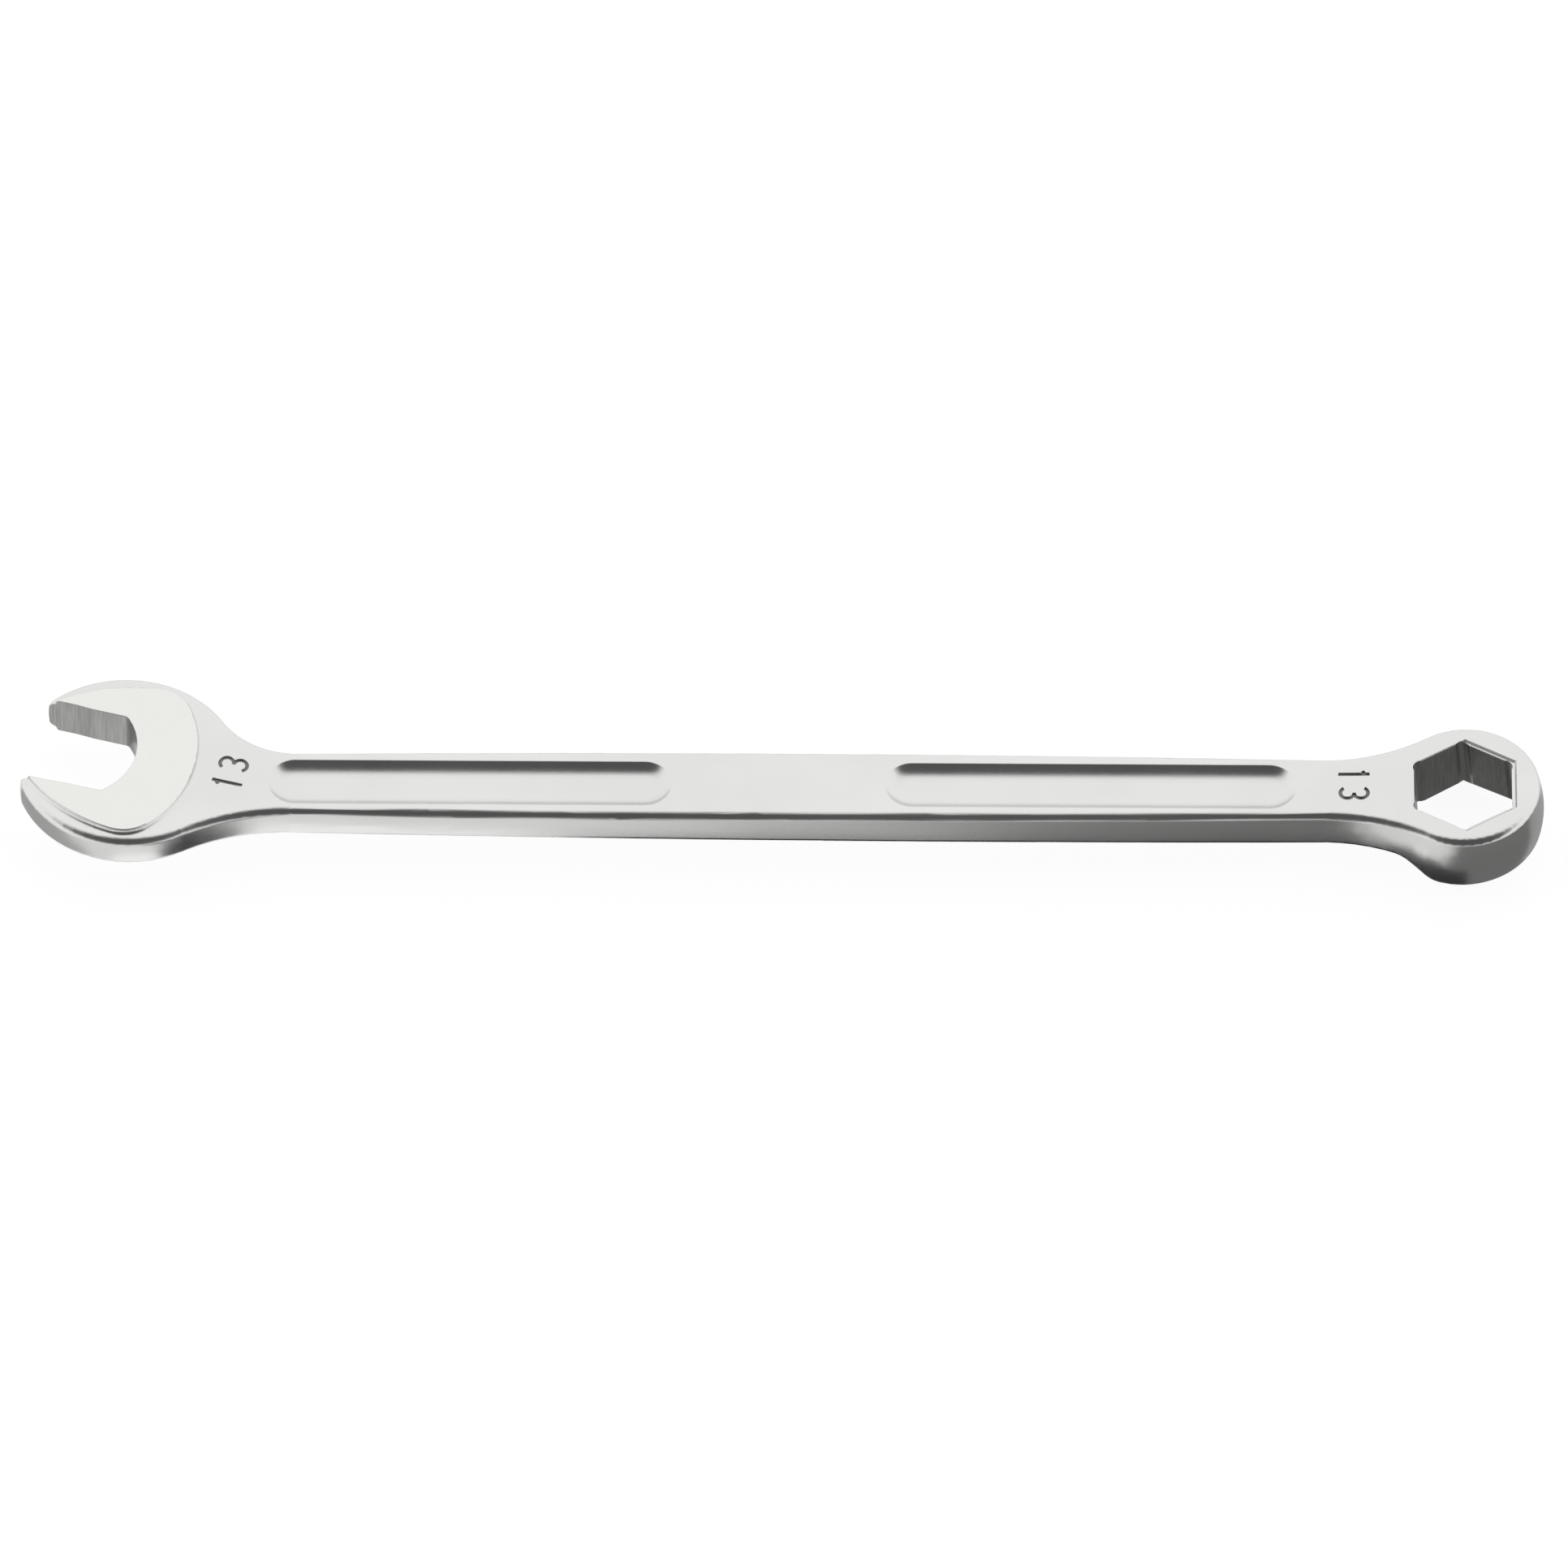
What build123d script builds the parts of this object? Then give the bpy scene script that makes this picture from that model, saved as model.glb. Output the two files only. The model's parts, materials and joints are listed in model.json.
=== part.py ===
from build123d import *
import os
from math import atan, cos, degrees, radians, sin, tan

# Long combination wrench, 13 mm across flats, drop forged in one piece.
# Working frame: +X runs along the shank from the open end to the ring end,
# +Y is the side the open end leans to, +Z is up out of the face with the
# size numerals. Z = 0 is half way through the shank.
# The finished forging is then moved so that the origin is under its middle.
# Lengths are millimetres and angles are degrees.

# Gripping sizes
ACROSS_FLATS = 13.1            # ring hexagon, a running fit on a 13 mm nut
JAW_GAP = 13.15                # open end, between the two gripping faces

# Lay-out along the shank
END_TO_END = 166.2             # jaw axis crossing to ring centre
CROSSING_X = -END_TO_END / 2
RING_X = END_TO_END / 2

# Shank
SHANK_HALF_WIDTH_ENDS = 5.1
SHANK_HALF_WIDTH_MIDDLE = 5.95
SHANK_OVERLAP = 6.0            # how far the shank runs into the head
SHANK_HALF_THICKNESS_OPEN = 2.45
SHANK_HALF_THICKNESS_RING = 2.95
WALL_BULGE = 2.0               # walls curve in by this much ...
WALL_BULGE_HEIGHT = 8.0        # ... at this height over the parting plane
PARTING_FALL = 0.45            # the parting plane sinks towards the ring
EDGE_RADIUS = 1.0

# Open end
JAW_SWING = 15                 # away from the shank's line
HEAD_RADIUS = 15.55
HEAD_FRONT = 27.0              # the jaws are cut off square here ...
HEAD_FRONT_RADIUS = 2.5        # ... and rounded
HEAD_ARC_SPREAD = 1.2          # each side arc is centred past the jaw axis
HEAD_CENTRE = 14.0             # along the jaw axis from the crossing
NECK_RADIUS_INNER = 12.0       # on the side the head leans to
NECK_RADIUS_OUTER = 30.0
FACE_HALF_THICKNESS = 3.1      # machined faces
FACE_SIDE_RADIUS = 22.0        # side arcs, centred past the jaw axis
FACE_SIDE_CENTRE = (10.9, 9.4)
FACE_BACK_RADIUS = 17.7
FACE_BACK = 4.8                # back of the machined face from the crossing
FACE_CORNER_RADIUS = 5.0
FACE_EDGE_RADIUS = 0.25
FACE_FOOT_RADIUS = 0.5
THROAT_BOTTOM = 12.95          # from the crossing
THROAT_DEPTH = 2.85
THROAT_CORNER_RADIUS = 0.9
RELIEF_START = 20.6            # the jaw faces step back towards the tips
RELIEF_END = 23.0
RELIEF_DEPTH = 0.15
RELIEF_RADIUS = 2.0

# Ring end
RING_RADIUS = 10.6
RING_NECK_RADIUS = 27.0
RING_TOP = 3.6                 # at the ring centre
RING_BOTTOM = -5.8
RING_TOP_TILT = 2.5            # outer end up
RING_BOTTOM_TILT = 5.5
TOP_BLEND_RADIUS = 150.0
BORE_TILT = 5.0
CORNER_RELIEF_RADIUS = 1.05
CORNER_RELIEF_REACH = 7.55
TOP_LEAD = (0.3, 0.3)          # depth and width of the lead-in chamfers
BOTTOM_LEAD = (1.2, 0.7)
BOSS_FOOT_X = 74.8             # underside slope from the shank to the ring
BOSS_EDGE_X = 78.6
BOSS_FOOT_RADIUS = 3.5
BOSS_EDGE_RADIUS = 3.0

# Grip recesses, two on each face with a flat pad between them
RECESS_WIDTH = 7.5
RECESS_DEPTH = 1.0
RECESS_COVE = 3.5              # radius of the curved walls
RECESS_RIM_RADIUS = 0.25
OPEN_RECESS = (-77.7, -23.4)
RING_RECESS = (5.1, 60.4)

# Size numerals
NUMERAL_HEIGHT = 4.2
NUMERAL_STROKE = 0.5
NUMERAL_PITCH = 3.2
NUMERAL_DEPTH = 0.2
NUMERAL_FLAG = 1.0
NUMERAL_FLAG_ANGLE = 40
UPPER_LOBE_GAP = (150, 270)    # the figure 3 is open between these directions
LOWER_LOBE_GAP = (90, 210)
OPEN_NUMERALS_SHIFT = 1.4      # off the jaw axis, towards the leaning side
RING_NUMERALS_X = 68.1
RING_NUMERALS_SHIFT = 0.6

# Working values
TALL = 40                      # longer than any cut has to reach
SAME_POINT = 0.01              # points closer than this are one point
LEVEL = 0.5                    # a face whose normal rises by more than this is level


def tilted_plane(x, z, slope_angle):
    """Plane at a point over the shank axis, turned up towards the ring end."""
    along, up = cos(radians(slope_angle)), sin(radians(slope_angle))
    return Plane(origin=(x, 0, z), x_dir=(along, 0, up), z_dir=(-up, 0, along))


def jaw_plane():
    """Plane on the parting plane whose x axis points out of the open end."""
    swing = radians(JAW_SWING)
    return Plane(origin=(CROSSING_X, 0, 0), x_dir=(-cos(swing), sin(swing), 0), z_dir=(0, 0, 1))


def shank_slope():
    """How much each shank face rises per millimetre towards the ring."""
    return (SHANK_HALF_THICKNESS_RING - SHANK_HALF_THICKNESS_OPEN) / END_TO_END


def shank_face(x):
    """Height of the shank's upper face over the parting plane."""
    return SHANK_HALF_THICKNESS_OPEN + shank_slope() * (x - CROSSING_X)


def near(vertices, spots):
    """The vertices that lie on any of the given spots."""
    return [v for v in vertices if any((Vector(v) - s).length < SAME_POINT for s in spots)]


def is_level(face):
    """True for an upper or lower face, false for a wall."""
    return abs(face.normal_at().Z) > LEVEL


def edges_of(faces):
    return [edge for face in faces for edge in face.edges()]


def holds(edges, edge):
    return any(edge.is_same(other) for other in edges)


# Forging blank

def lens(centre, spread, radius):
    """Area between two arcs, each centred past the jaw axis by the spread."""
    return Pos(centre, -spread) * Circle(radius) & Pos(centre, spread) * Circle(radius)


def head_outline():
    """Two side arcs, cut off square in front of the jaws."""
    behind = Pos(HEAD_FRONT, 0) * Rectangle(TALL, TALL, align=(Align.MAX, Align.CENTER))
    outline = lens(HEAD_CENTRE, HEAD_ARC_SPREAD, HEAD_RADIUS) & behind
    front_corners = outline.vertices().sort_by(Axis.X)[-2:]
    return fillet(front_corners, HEAD_FRONT_RADIUS)


def shank_outline():
    start, end = CROSSING_X - SHANK_OVERLAP, RING_X
    side, middle = SHANK_HALF_WIDTH_ENDS, SHANK_HALF_WIDTH_MIDDLE
    inner = ThreePointArc((start, side), (0, middle), (end, side))
    outer = ThreePointArc((end, -side), (0, -middle), (start, -side))
    ring_side = Line((end, side), (end, -side))
    open_side = Line((start, -side), (start, side))
    return make_face(inner + ring_side + outer + open_side)


def plan_outline():
    """Whole outline seen from above, with the three necks blended."""
    ring = Pos(RING_X, 0) * Circle(RING_RADIUS)
    plan = jaw_plane() * head_outline() + shank_outline() + ring
    corners = [Vector(v) for v in plan.vertices() if v.X > CROSSING_X - 2 * SHANK_OVERLAP]
    ring_corners = [c for c in corners if c.X > 0]
    inner_corners = [c for c in corners if c.X < 0 < c.Y]
    outer_corners = [c for c in corners if c.X < 0 and c.Y < 0]
    plan = fillet(near(plan.vertices(), ring_corners), RING_NECK_RADIUS)
    plan = fillet(near(plan.vertices(), inner_corners), NECK_RADIUS_INNER)
    return fillet(near(plan.vertices(), outer_corners), NECK_RADIUS_OUTER)


def bulged_walls():
    """The outline with walls that swell out at the parting plane."""
    plan = plan_outline()
    drawn_in = offset(plan, -WALL_BULGE).face()
    low = Pos(0, 0, -WALL_BULGE_HEIGHT) * drawn_in
    high = Pos(0, 0, WALL_BULGE_HEIGHT) * drawn_in
    walls = loft([low, plan.face(), high])
    return walls.rotate(Axis((CROSSING_X, 0, 0), (0, 1, 0)), PARTING_FALL)


def side_profile():
    """Side view: slim shank, thicker ring with its outer end up."""
    left, right = CROSSING_X - TALL, RING_X + TALL
    top_rise, bottom_rise = tan(radians(RING_TOP_TILT)), tan(radians(RING_BOTTOM_TILT))
    level = SHANK_HALF_THICKNESS_OPEN - shank_slope() * CROSSING_X
    bend = (RING_TOP - RING_X * top_rise - level) / (shank_slope() - top_rise)

    def ring_underside(x):
        return RING_BOTTOM + (x - RING_X) * bottom_rise

    corners = [
        ((left, shank_face(left)), 0),
        ((bend, shank_face(bend)), TOP_BLEND_RADIUS),
        ((right, RING_TOP + (right - RING_X) * top_rise), 0),
        ((right, ring_underside(right)), 0),
        ((BOSS_EDGE_X, ring_underside(BOSS_EDGE_X)), BOSS_EDGE_RADIUS),
        ((BOSS_FOOT_X, -shank_face(BOSS_FOOT_X)), BOSS_FOOT_RADIUS),
        ((left, -shank_face(left)), 0),
    ]
    profile = make_face(Polyline(*[point for point, radius in corners], close=True))
    for point, radius in corners:
        if radius:
            profile = fillet(near(profile.vertices(), [Vector(*point)]), radius)
    return extrude(Plane.XZ * profile, amount=TALL, both=True)


def outer_rim(blank):
    """Edges where the upper and lower faces meet the walls."""
    level_edges = edges_of([face for face in blank.faces() if is_level(face)])
    wall_edges = edges_of([face for face in blank.faces() if not is_level(face)])
    return [e for e in blank.edges() if holds(level_edges, e) and holds(wall_edges, e)]


def forging_blank():
    blank = bulged_walls() & side_profile()
    return fillet(outer_rim(blank), EDGE_RADIUS)


# Open end

def machined_faces():
    """Raised flat faces on both sides of the open end."""
    back = Pos(FACE_BACK + FACE_BACK_RADIUS, 0) * Circle(FACE_BACK_RADIUS)
    outline = lens(*FACE_SIDE_CENTRE, FACE_SIDE_RADIUS) & back
    outline = fillet(outline.vertices(), FACE_CORNER_RADIUS)
    pad = extrude(jaw_plane() * outline, amount=FACE_HALF_THICKNESS, both=True)
    level_faces = [face for face in pad.faces() if is_level(face)]
    return fillet(edges_of(level_faces), FACE_EDGE_RADIUS)


def jaw_opening():
    """Parallel gripping faces, curved throat, faces stepped back at the tips."""
    half = JAW_GAP / 2
    wide_half = half + RELIEF_DEPTH
    throat_mouth = THROAT_BOTTOM + THROAT_DEPTH
    outside = THROAT_BOTTOM + TALL
    side = [(throat_mouth, half), (RELIEF_START, half), (RELIEF_END, wide_half), (outside, wide_half)]
    other = [(x, -y) for x, y in reversed(side)]
    throat = ThreePointArc(other[-1], (THROAT_BOTTOM, 0), side[0])
    opening = make_face(Polyline(*side, *other) + throat)
    throat_corners = [Vector(*side[0]), Vector(*other[-1])]
    steps = [Vector(*point) for point in side[1:3] + other[1:3]]
    opening = fillet(near(opening.vertices(), throat_corners), THROAT_CORNER_RADIUS)
    opening = fillet(near(opening.vertices(), steps), RELIEF_RADIUS)
    return extrude(jaw_plane() * opening, amount=TALL, both=True)


def add_machined_faces(blank):
    faces = machined_faces()
    joined = blank + faces
    seams = new_edges(blank, faces, combined=joined)
    feet = [seam for seam in seams if abs(seam.center().Z) < FACE_HALF_THICKNESS]
    return fillet(feet, FACE_FOOT_RADIUS)


# Ring end

def hexagon(across_flats):
    """Hexagon with two of its flats square to the shank."""
    return RegularPolygon(across_flats / 2, 6, major_radius=False, rotation=30)


def ring_bore():
    """Hexagonal bore with relieved corners, square to the tilted ring."""
    middle = (RING_TOP + RING_BOTTOM) / 2
    axis_plane = tilted_plane(RING_X, middle, BORE_TILT)
    relief_centre = CORNER_RELIEF_REACH - CORNER_RELIEF_RADIUS
    reliefs = PolarLocations(relief_centre, 6, start_angle=30) * Circle(CORNER_RELIEF_RADIUS)
    section = hexagon(ACROSS_FLATS) + reliefs
    return extrude(axis_plane * section, amount=TALL, both=True)


def lead_in(z, tilt, way, lead):
    """Tapered hexagon that chamfers the bore at one face of the ring."""
    depth, width = lead
    face_plane = tilted_plane(RING_X, z, tilt)
    inside = face_plane * Pos(0, 0, -way * depth) * hexagon(ACROSS_FLATS)
    outside = face_plane * Pos(0, 0, way * depth) * hexagon(ACROSS_FLATS + 4 * width)
    return loft([inside.face(), outside.face()], ruled=True)


def cut_ring(forging):
    top = lead_in(RING_TOP, RING_TOP_TILT, 1, TOP_LEAD)
    bottom = lead_in(RING_BOTTOM, RING_BOTTOM_TILT, -1, BOTTOM_LEAD)
    return forging - ring_bore() - top - bottom


# Shank details

def recess_tool(span):
    """Stadium cutter with coved walls, for one recess in the upper face."""
    start, end = span
    middle = (start + end) / 2
    wall_lean = RECESS_COVE - (RECESS_COVE ** 2 - (RECESS_COVE - RECESS_DEPTH) ** 2) ** 0.5
    plan = SlotOverall(end - start + 2 * wall_lean, RECESS_WIDTH + 2 * wall_lean)
    block = extrude(plan, amount=2 * RECESS_COVE)
    block = fillet(block.faces().sort_by(Axis.Z)[0].edges(), RECESS_COVE)
    floor = tilted_plane(middle, shank_face(middle) - RECESS_DEPTH, degrees(atan(shank_slope())))
    return floor.location * block


def on_shank_face(edge):
    """True for an edge that lies in either broad face of the shank."""
    middle = edge.center()
    return abs(middle.Z) > shank_face(middle.X) - SAME_POINT


def cut_recesses(forging):
    for span in (OPEN_RECESS, RING_RECESS):
        upper = recess_tool(span)
        for tool in (upper, mirror(upper, about=Plane.XY)):
            cut = forging - tool
            rim = [e for e in new_edges(forging, tool, combined=cut) if on_shank_face(e)]
            forging = fillet(rim, RECESS_RIM_RADIUS)
    return forging


def numeral_one():
    """A stem with a short flag at its head."""
    head = NUMERAL_HEIGHT / 2
    half = NUMERAL_STROKE / 2
    stem = Rectangle(NUMERAL_STROKE, NUMERAL_HEIGHT)
    flag_length = NUMERAL_FLAG + half
    flag = Rectangle(flag_length, NUMERAL_STROKE, align=(Align.MAX, Align.MAX))
    flag = Pos(half, head) * Rot(0, 0, NUMERAL_FLAG_ANGLE) * flag
    up_to_stem = Rectangle(NUMERAL_HEIGHT, NUMERAL_HEIGHT, align=(Align.MAX, Align.CENTER))
    return stem + (flag & Pos(half, 0) * up_to_stem)


def open_lobe(radius, gap):
    """Round stroke with a wedge left out between two directions."""
    half = NUMERAL_STROKE / 2
    stroke = Circle(radius + half) - Circle(radius - half)
    angles = [radians(angle) for angle in (gap[0], sum(gap) / 2, gap[1])]
    reach = 2 * NUMERAL_HEIGHT
    wedge = Polyline((0, 0), *[(reach * cos(a), reach * sin(a)) for a in angles], close=True)
    return stroke - make_face(wedge)


def numeral_three():
    """Two open lobes, one over the other."""
    radius = (NUMERAL_HEIGHT - NUMERAL_STROKE) / 4
    upper = Pos(0, radius) * open_lobe(radius, UPPER_LOBE_GAP)
    lower = Pos(0, -radius) * open_lobe(radius, LOWER_LOBE_GAP)
    return upper + lower


def size_numerals(plane):
    """The figures 1 and 3, cut slightly into the face the plane lies on."""
    one = Pos(-NUMERAL_PITCH / 2, 0) * numeral_one()
    three = Pos(NUMERAL_PITCH / 2, 0) * numeral_three()
    return extrude(plane * Pos(0, 0, -NUMERAL_DEPTH) * (one + three), amount=TALL)


def cut_numerals(forging):
    swing = radians(JAW_SWING)
    across = Vector(sin(swing), cos(swing), 0)
    open_spot = Vector(CROSSING_X, 0, SHANK_HALF_THICKNESS_OPEN) + across * OPEN_NUMERALS_SHIFT
    open_plane = Plane(origin=open_spot, x_dir=across, z_dir=(0, 0, 1))
    ring_spot = (RING_NUMERALS_X, RING_NUMERALS_SHIFT, shank_face(RING_NUMERALS_X))
    ring_plane = Plane(origin=ring_spot, x_dir=(0, -1, 0), z_dir=(0, 0, 1))
    return forging - size_numerals(open_plane) - size_numerals(ring_plane)


def wrench_forging():
    forging = add_machined_faces(forging_blank()) - jaw_opening()
    forging = cut_recesses(cut_ring(forging))
    forging = cut_numerals(forging)
    box = forging.bounding_box()
    return Pos(-box.center().X, -box.center().Y, -box.min.Z) * forging


os.makedirs("parts", exist_ok=True)
export_step(wrench_forging(), "parts/wrench_forging.step")
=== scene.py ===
import json
from math import cos, radians, sin

import bpy
from mathutils import Matrix, Vector

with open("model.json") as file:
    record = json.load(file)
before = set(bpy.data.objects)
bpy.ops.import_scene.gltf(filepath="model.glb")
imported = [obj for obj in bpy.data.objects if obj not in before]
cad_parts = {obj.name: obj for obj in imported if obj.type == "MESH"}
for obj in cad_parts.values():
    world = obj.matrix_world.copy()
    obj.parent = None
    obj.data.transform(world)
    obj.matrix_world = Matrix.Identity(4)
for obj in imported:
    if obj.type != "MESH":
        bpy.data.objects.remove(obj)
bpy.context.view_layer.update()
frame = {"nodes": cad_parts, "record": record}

MM = 0.001

# Camera
VIEW_ELEVATION = radians(50.94)
VIEW_ROLL = radians(0.424)
VIEW_DISTANCE = 3.333
VIEW_WIDTH = 210.55 * MM       # what the frame takes in at the aim point
VIEW_AIM = Vector((0.232, -2.295, 7.2)) * MM
VIEW_CLIP = (0.01, 100)
SENSOR = 36.0

# Floor and sky
FLOOR_REACH = 3.0
FLOOR_COLOUR = (0.12, 0.12, 0.12)
FLOOR_GLOW = 0.93
SKY_BRIGHT = 1.05
SKY_BELOW = 0.82
SKY_FALL = (-0.55, 0.1)        # heights between which the light goes from low to full
DARK_TONE = 0.09
DARK_TILT = radians(45)        # of the dark band, up and to the front
DARK_EDGES = (radians(59), radians(38))  # from its middle: where it ends, and where it is full

# Cards under the floor that only the metal sees, each named after the walls it lights or shades,
# with its spans along x and y and its height, in metres, and the strength of its light
CARD_LEVEL = -0.15
CARD_LIFT = 0.001              # keeps a card off the ones that it overlaps
CARDS = {
    "shine_left": ((-0.12, -0.035), (-0.135, -0.02), CARD_LEVEL, 1.15),
    "shade_start": ((-0.01, 0.03), (-0.7, -0.115), CARD_LEVEL, 0.5),
    "shade_right": ((0.03, 0.7), (-0.7, 0.03), CARD_LEVEL, 0.16),
    "shade_neck": ((-0.03, 0.1), (-0.125, 0.03), CARD_LEVEL + CARD_LIFT, 0.02),
    "shade_edge": ((0.12, 0.7), (0.03, 0.14), CARD_LEVEL, 0.35),
    "shade_left": ((-0.5, -0.16), (-0.09, 0.1), CARD_LEVEL, 0.4),
}
CARD_COLOUR = (0, 0, 0)
CARD_ROUGHNESS = 0.9

# Where the finishes meet, in millimetres
MOUNTS = {mount["name"]: mount for mount in frame["record"]["mounts"]}
MIDDLE_Z = MOUNTS["open_jaw"]["pos_m"][2] / MM
HEAD_END_X = -70.0             # the head is all that lies past this
GROUND_RISE = (2.85, 3.0)      # above the middle, where the ground faces lie just past this range
SHANK_START_X = -74.47
SHANK_HALF_THICKNESS = 2.45    # at the start
SHANK_SLOPE = 0.003            # half thickness gained in a millimetre towards the ring
JAW_REACH = 6.9                # to each side of the jaw axis
JAW_FROM = -8.6                # along the jaw axis from the mount
BORE_REACH = 8.2               # from the axis of the bore
BLEND = 0.1                    # width in which jaw and bore give way to the rest
RECESS_DEPTH = (0.4, 0.9)      # under the shank's faces, as is the depth of the numerals
NUMERALS = (((-73.6, -1.15), (2.8, 3.0)), ((76.7, -3.0), (2.6, 3.2)))  # centres and half sizes
NUMERAL_BLEND = 0.3
NUMERAL_DEPTH = (0.04, 0.15)

# How squarely a surface faces up or down, from 0 for a wall to 1 for a level face
WALL_FACING = (0.6, 0.75)      # walls lie below this range
FLOOR_FACING = (0.75, 0.95)    # recess floors lie above this one

# Edges, rounded in shading only
EDGE_ROUND = 0.2 * MM
EDGE_SAMPLES = 6
EDGE_TURN = (0.99, 0.9)        # cosine between the rounded normal and the plain one

# Noise: how many features fit in a millimetre
MOTTLE = 0.06
PEEL = 0.8
GRAIN = 6.0
POLISH = 5.0
DRAW = 4.0
MARKS = 4.0
STREAK = 0.05                  # how much slower polish and draw change along their streaks
SWEEP_RADIUS = 60.0            # from the jaw to the centre that the grinding marks run round
SWEEP_TURN = 3.0               # millimetres of noise in a radian of the sweep
COARSE_DETAIL = 2.0
FINE_DETAIL = 3.0
HALVES = (0.35, 0.65)          # noise values between which one tint gives way to the other

# What each layer adds to the height, in millimetres, and to the roughness
RELIEF = {"peel": 0.006, "grain": 0.0014, "polish": 0.003, "marks": 0.0015, "draw": 0.004, "pits": 0.002}
ROUGHNESS = 0.17               # before the layers are added
ROUGHER = {"mottle": 0.08, "polish": 0.06, "marks": 0.14, "broached": 0.1, "recess": 0.05,
           "figures": 0.2, "edge": -0.08}

# Colours of the finishes, and how they vary, and the painted shade of the sunken figures
CHROME = (0.76, 0.76, 0.75)
GROUND = (0.8, 0.8, 0.775)
BROACHED = (0.46, 0.46, 0.45)
WORN = (0.85, 0.85, 0.84)
# Painted shade: the floors of the sunken figures are darkened as if shadow filled them
FIGURE_SHADE = (0.2, 0.2, 0.2)
CHROME_DULL = 0.96
BROACHED_DULL = 0.8
WEAR = 0.7                     # how far worn edges go over to their own colour


def new_material(name):
    material = bpy.data.materials.new(name)
    material.use_nodes = True
    return material, material.node_tree.nodes["Principled BSDF"]


def add(name, data):
    thing = bpy.data.objects.new(name, data)
    bpy.context.scene.collection.objects.link(thing)
    return thing


def make_camera():
    back = Vector((0, -cos(VIEW_ELEVATION), sin(VIEW_ELEVATION)))
    data = bpy.data.cameras.new("camera")
    data.sensor_width = SENSOR
    data.lens = SENSOR * VIEW_DISTANCE / VIEW_WIDTH
    data.clip_start, data.clip_end = VIEW_CLIP
    camera = add("camera", data)
    level = (-back).to_track_quat("-Z", "Y").to_matrix().to_4x4()
    turned = level @ Matrix.Rotation(VIEW_ROLL, 4, "Z")
    camera.matrix_world = Matrix.Translation(VIEW_AIM + back * VIEW_DISTANCE) @ turned
    bpy.context.scene.camera = camera


def make_card(name, x, y, z, colour, glow):
    """Level rectangle with its own even light."""
    material, shader = new_material(name)
    shader.inputs["Base Color"].default_value = (*colour, 1)
    shader.inputs["Roughness"].default_value = CARD_ROUGHNESS
    shader.inputs["Specular IOR Level"].default_value = 0
    shader.inputs["Emission Color"].default_value = (1, 1, 1, 1)
    shader.inputs["Emission Strength"].default_value = glow
    corners = [(x[0], y[0], z), (x[1], y[0], z), (x[1], y[1], z), (x[0], y[1], z)]
    mesh = bpy.data.meshes.new(name)
    mesh.from_pydata(corners, [], [(0, 1, 2, 3)])
    mesh.materials.append(material)
    card = add(name, mesh)
    card.visible_shadow = False
    return card


def make_floor():
    span = (-FLOOR_REACH, FLOOR_REACH)
    floor = make_card("studio_floor", span, span, 0, FLOOR_COLOUR, FLOOR_GLOW)
    floor.visible_glossy = False


def make_reflections():
    for name, (x, y, z, glow) in CARDS.items():
        card = make_card(name, x, y, z, CARD_COLOUR, glow)
        card.visible_camera = False
        card.visible_diffuse = False


class Recipe:
    """Adds nodes to a node tree. Most calls give back the output of the last node they add."""

    def __init__(self, tree):
        self.nodes = tree.nodes
        self.links = tree.links

    def feed(self, socket, value):
        if isinstance(value, bpy.types.NodeSocket):
            self.links.new(value, socket)
        else:
            socket.default_value = value

    def node(self, kind, values=(), **settings):
        node = self.nodes.new(kind)
        for name, setting in settings.items():
            setattr(node, name, setting)
        for key, value in dict(values).items():
            self.feed(node.inputs[key], value)
        return node

    def math(self, operation, *values):
        return self.node("ShaderNodeMath", enumerate(values), operation=operation).outputs[0]

    def vector(self, operation, *values):
        node = self.node("ShaderNodeVectorMath", enumerate(values), operation=operation)
        return node.outputs["Value" if operation in ("DOT_PRODUCT", "LENGTH") else "Vector"]

    def split(self, vector):
        return self.node("ShaderNodeSeparateXYZ", {0: vector}).outputs[:]

    def join(self, *parts):
        return self.node("ShaderNodeCombineXYZ", enumerate(parts)).outputs[0]

    def ramp(self, value, start, end, low=0.0, high=1.0):
        """Goes smoothly from low to high as the value goes from start to end."""
        values = {"Value": value, "From Min": start, "From Max": end, "To Min": low, "To Max": high}
        return self.node("ShaderNodeMapRange", values, interpolation_type="SMOOTHSTEP").outputs["Result"]

    def noise(self, vector, scale, detail=FINE_DETAIL):
        values = {"Vector": vector, "Scale": scale, "Detail": detail}
        return self.node("ShaderNodeTexNoise", values).outputs["Fac"]

    def product(self, *values):
        result = values[0]
        for value in values[1:]:
            result = self.math("MULTIPLY", result, value)
        return result

    def total(self, start, layers, amounts):
        """The start, plus each layer times its amount."""
        result = start
        for name, amount in amounts.items():
            result = self.math("MULTIPLY_ADD", layers[name], amount, result)
        return result

    def mixed(self, factor, a, b):
        node = self.node("ShaderNodeMix", {"Factor": factor}, data_type="RGBA")
        for socket, colour in zip([s for s in node.inputs if s.type == "RGBA"], (a, b)):
            self.feed(socket, (*colour, 1) if isinstance(colour, tuple) else colour)
        return [s for s in node.outputs if s.type == "RGBA"][0]


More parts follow.
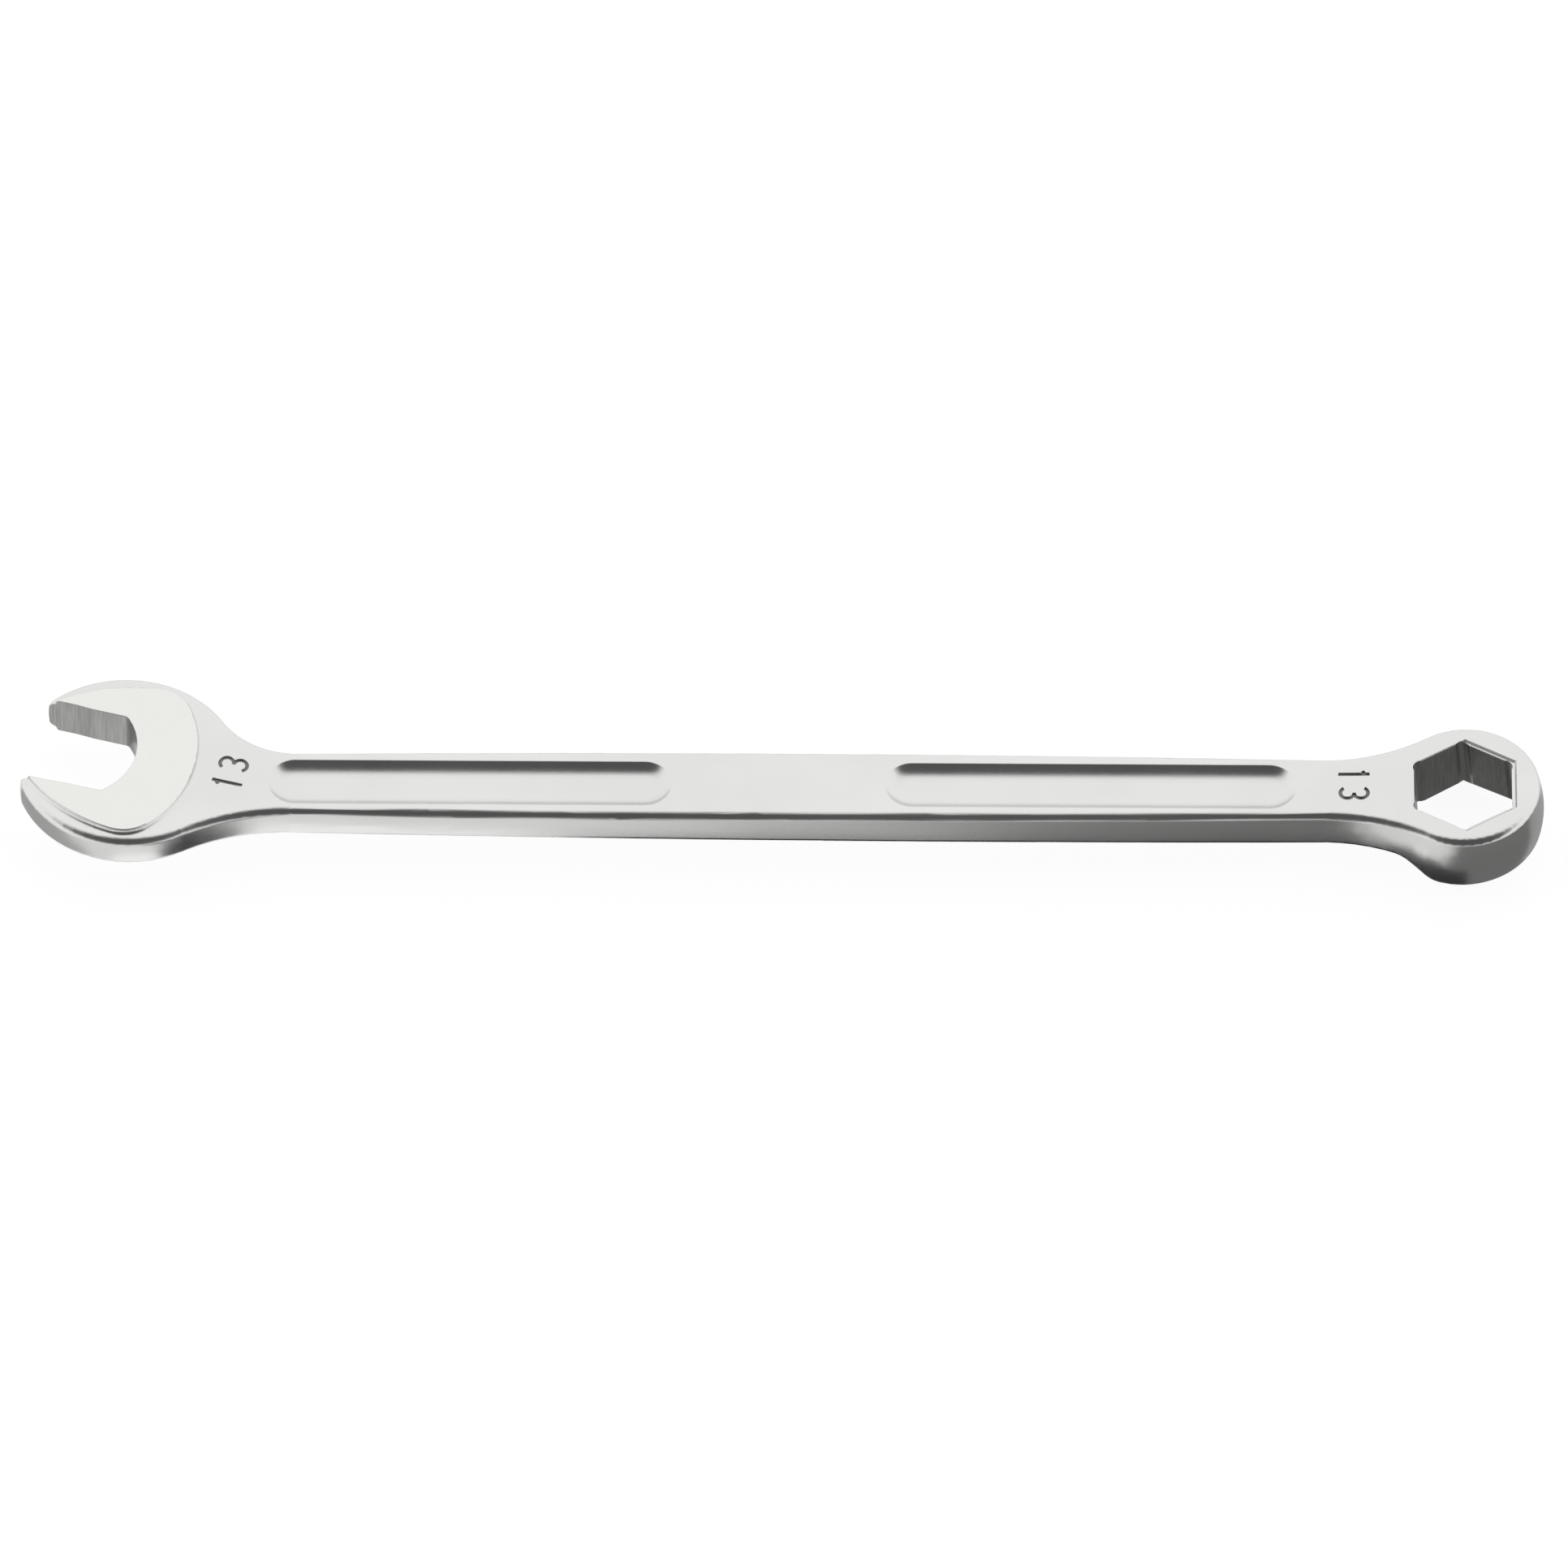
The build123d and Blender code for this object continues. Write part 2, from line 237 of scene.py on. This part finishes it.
def make_world():
    """Even light, weaker from below, with a dark band up and to the front that draws the rims."""
    world = bpy.data.worlds.new("studio")
    world.use_nodes = True
    recipe = Recipe(world.node_tree)
    way = recipe.node("ShaderNodeTexCoord").outputs["Generated"]
    height = recipe.split(way)[2]
    light = recipe.ramp(height, *SKY_FALL, SKY_BELOW, SKY_BRIGHT)
    to_band = recipe.vector("DOT_PRODUCT", way, (0, -sin(DARK_TILT), cos(DARK_TILT)))
    band = recipe.ramp(to_band, cos(DARK_EDGES[0]), cos(DARK_EDGES[1]))
    seen = recipe.math("MULTIPLY_ADD", band, recipe.math("SUBTRACT", DARK_TONE, light), light)
    camera_ray = recipe.node("ShaderNodeLightPath").outputs["Is Camera Ray"]
    strength = recipe.math("MULTIPLY_ADD", camera_ray, recipe.math("SUBTRACT", 1.0, seen), seen)
    background = world.node_tree.nodes["Background"]
    background.inputs["Color"].default_value = (1, 1, 1, 1)
    recipe.feed(background.inputs["Strength"], strength)
    bpy.context.scene.world = world


def inside(recipe, value, centre, half):
    """1 within half of the centre, falling to 0 just past it."""
    off = recipe.math("ABSOLUTE", recipe.math("SUBTRACT", value, centre))
    return recipe.ramp(off, half, half + NUMERAL_BLEND, 1.0, 0.0)


def from_mount(recipe, place, name):
    """Distances from a mount: along its axis, and square to it."""
    mount = MOUNTS[name]
    offset = recipe.vector("SUBTRACT", place, tuple(Vector(mount["pos_m"]) / MM))
    axis = tuple(mount["axis"])
    along = recipe.vector("DOT_PRODUCT", offset, axis)
    across = recipe.vector("LENGTH", recipe.vector("CROSS_PRODUCT", offset, axis))
    return along, across


def finish_masks(recipe, place, facing_up):
    """Masks by finish, and of the sunken figures that get painted shade, each 1 where it lies and 0
    elsewhere.
    """
    x, y, z = recipe.split(place)
    rise = recipe.math("ABSOLUTE", recipe.math("SUBTRACT", z, MIDDLE_Z))
    from_start = recipe.math("SUBTRACT", x, SHANK_START_X)
    half_thickness = recipe.math("MULTIPLY_ADD", from_start, SHANK_SLOPE, SHANK_HALF_THICKNESS)
    depth = recipe.math("SUBTRACT", half_thickness, rise)
    in_head = recipe.math("LESS_THAN", x, HEAD_END_X)
    ground = recipe.product(recipe.ramp(rise, *GROUND_RISE), in_head)

    jaw_along, jaw_across = from_mount(recipe, recipe.join(x, y, MIDDLE_Z), "open_jaw")
    jaw = recipe.product(recipe.ramp(jaw_across, JAW_REACH - BLEND, JAW_REACH, 1.0, 0.0),
                         recipe.ramp(jaw_along, JAW_FROM - BLEND, JAW_FROM), in_head)
    bore_across = from_mount(recipe, place, "ring_hex")[1]
    bore = recipe.ramp(bore_across, BORE_REACH, BORE_REACH + BLEND, 1.0, 0.0)
    wall = recipe.ramp(facing_up, *WALL_FACING, 1.0, 0.0)
    broached = recipe.product(recipe.math("MAXIMUM", jaw, bore), wall)
    recess = recipe.product(recipe.ramp(depth, *RECESS_DEPTH), recipe.ramp(facing_up, *FLOOR_FACING))

    # The sunken figures, which get painted shade and more roughness
    figures = 0.0
    for (centre_x, centre_y), (half_x, half_y) in NUMERALS:
        box = recipe.product(inside(recipe, x, centre_x, half_x), inside(recipe, y, centre_y, half_y))
        figures = recipe.math("MAXIMUM", figures, box)
    upper = recipe.math("GREATER_THAN", z, MIDDLE_Z)
    figures = recipe.product(figures, recipe.ramp(depth, *NUMERAL_DEPTH), upper)
    return {"ground": ground, "broached": broached, "recess": recess, "figures": figures}


def grinding_marks(recipe, place):
    """Noise that runs in wide arcs across the head."""
    jaw = MOUNTS["open_jaw"]
    centre = Vector(jaw["pos_m"]) / MM - Vector(jaw["axis"]) * SWEEP_RADIUS
    x, y, _ = recipe.split(recipe.vector("SUBTRACT", place, tuple(centre)))
    radius = recipe.vector("LENGTH", recipe.join(x, y, 0.0))
    turn = recipe.math("MULTIPLY", recipe.math("ARCTAN2", y, x), SWEEP_TURN)
    return recipe.noise(recipe.join(radius, turn, 0.0), MARKS)


def satin_chrome():
    """Satin chrome on a forging, with ground jaw faces, broached flats, worn edges and painted shade on
    the sunken figures.
    """
    material, shader = new_material("satin_chrome")
    recipe = Recipe(material.node_tree)
    coords = recipe.node("ShaderNodeTexCoord")
    place = recipe.vector("MULTIPLY", coords.outputs["Object"], (1 / MM, 1 / MM, 1 / MM))
    facing_up = recipe.math("ABSOLUTE", recipe.split(coords.outputs["Normal"])[2])
    layers = finish_masks(recipe, place, facing_up)
    ground, broached, figures = layers["ground"], layers["broached"], layers["figures"]

    rounded = recipe.node("ShaderNodeBevel", {"Radius": EDGE_ROUND}, samples=EDGE_SAMPLES).outputs[0]
    plain = recipe.node("ShaderNodeNewGeometry").outputs["Normal"]
    turned = recipe.ramp(recipe.vector("DOT_PRODUCT", rounded, plain), *EDGE_TURN)
    edge = recipe.product(turned, recipe.math("SUBTRACT", 1.0, figures))

    mottle = recipe.noise(place, MOTTLE)
    grain = recipe.noise(place, GRAIN)
    polish = recipe.noise(recipe.vector("MULTIPLY", place, (STREAK, 1.0, 1.0)), POLISH)
    draw = recipe.noise(recipe.vector("MULTIPLY", place, (1.0, 1.0, STREAK)), DRAW)
    plated = recipe.math("SUBTRACT", 1.0, recipe.math("MAXIMUM", ground, broached))
    layers["edge"] = edge
    layers["mottle"] = mottle
    layers["peel"] = recipe.noise(place, PEEL, COARSE_DETAIL)
    layers["grain"] = grain
    layers["polish"] = recipe.product(polish, plated)
    layers["marks"] = recipe.product(grinding_marks(recipe, place), ground)
    layers["draw"] = recipe.product(draw, broached)
    layers["pits"] = recipe.product(grain, layers["recess"])

    height = recipe.total(0.0, layers, RELIEF)
    bump = recipe.node("ShaderNodeBump", {"Distance": MM, "Height": height, "Normal": rounded})
    recipe.feed(shader.inputs["Normal"], bump.outputs[0])
    recipe.feed(shader.inputs["Roughness"], recipe.total(ROUGHNESS, layers, ROUGHER))

    dull_chrome = tuple(CHROME_DULL * part for part in CHROME)
    dull_broached = tuple(BROACHED_DULL * part for part in BROACHED)
    colour = recipe.mixed(recipe.ramp(mottle, *HALVES), dull_chrome, CHROME)
    colour = recipe.mixed(ground, colour, GROUND)
    streaked = recipe.mixed(recipe.ramp(draw, *HALVES), dull_broached, BROACHED)
    colour = recipe.mixed(broached, colour, streaked)
    colour = recipe.mixed(recipe.product(edge, WEAR), colour, WORN)
    # Painted shade: the sunken figures darkened as if filled with shadow
    colour = recipe.mixed(figures, colour, FIGURE_SHADE)
    recipe.feed(shader.inputs["Base Color"], colour)
    shader.inputs["Metallic"].default_value = 1.0
    return material


bpy.context.scene.view_settings.view_transform = "Standard"
make_camera()
make_floor()
make_reflections()
make_world()
for slot in frame["nodes"]["wrench_forging"].material_slots:
    slot.material = satin_chrome()
